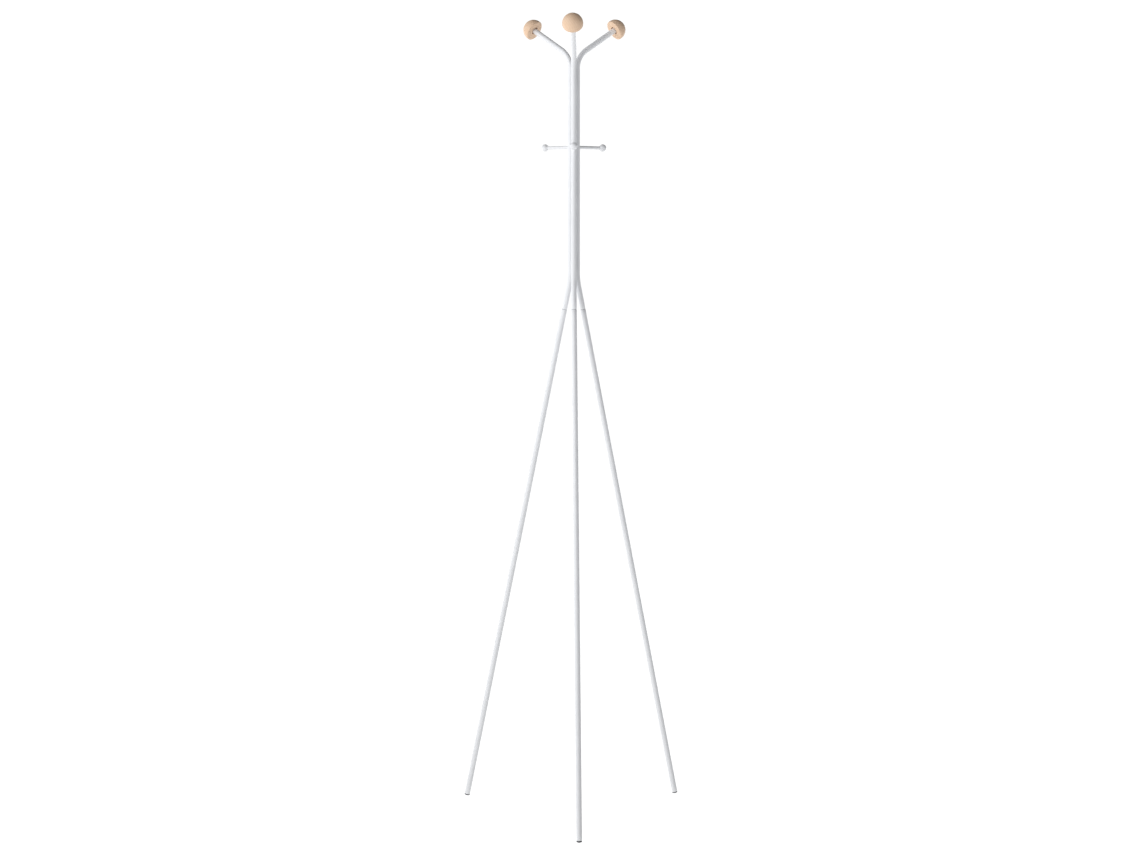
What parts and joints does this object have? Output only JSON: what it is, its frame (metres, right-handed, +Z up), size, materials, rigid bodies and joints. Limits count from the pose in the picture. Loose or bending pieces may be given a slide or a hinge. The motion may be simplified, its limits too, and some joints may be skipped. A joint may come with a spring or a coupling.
{
  "type": "standing coat rack",
  "caption": "Free-standing tripod coat rack of slim white steel tubes, with half-ball wooden knobs on its splayed arms and short ball-ended pegs on its mast.",
  "frame": {"origin": "on the floor, at the middle of the footprint's bounding rectangle; the mast stands 68.64 mm behind it", "axes": "+Z up along the mast; -Y is the front, where one leg, one arm and one peg point; +X is to the right seen from the front"},
  "size_m": [0.4892, 0.4257, 1.75],
  "materials": {
    "white_paint": "satin powder coat",
    "beech": "clear matt lacquer, fine grain",
    "glide_plastic": "moulded, matt",
    "zinc_steel": "zinc plated",
    "brass": "turned"
  },
  "bodies": {
    "root": {"arm_plug_front": "zinc_steel", "arm_plug_left": "zinc_steel", "arm_plug_right": "zinc_steel", "core_pin_bottom": "white_paint", "core_pin_middle": "white_paint", "core_pin_top": "white_paint", "core_welds": "white_paint", "foot_glide_front": "glide_plastic", "foot_glide_left": "glide_plastic", "foot_glide_right": "glide_plastic", "knob_front": "beech", "knob_insert_front": "brass", "knob_insert_left": "brass", "knob_insert_right": "brass", "knob_left": "beech", "knob_right": "beech", "knob_stud_front": "zinc_steel", "knob_stud_left": "zinc_steel", "knob_stud_right": "zinc_steel", "leg_socket_front": "zinc_steel", "leg_socket_left": "zinc_steel", "leg_socket_right": "zinc_steel", "leg_stud_front": "zinc_steel", "leg_stud_left": "zinc_steel", "leg_stud_right": "zinc_steel", "lower_leg_front": "white_paint", "lower_leg_left": "white_paint", "lower_leg_right": "white_paint", "peg_ball_front": "white_paint", "peg_ball_left": "white_paint", "peg_ball_right": "white_paint", "peg_rod_front": "white_paint", "peg_rod_left": "white_paint", "peg_rod_right": "white_paint", "peg_welds": "white_paint", "upper_tube_front": "white_paint", "upper_tube_left": "white_paint", "upper_tube_right": "white_paint"}
  },
  "joints": []
}
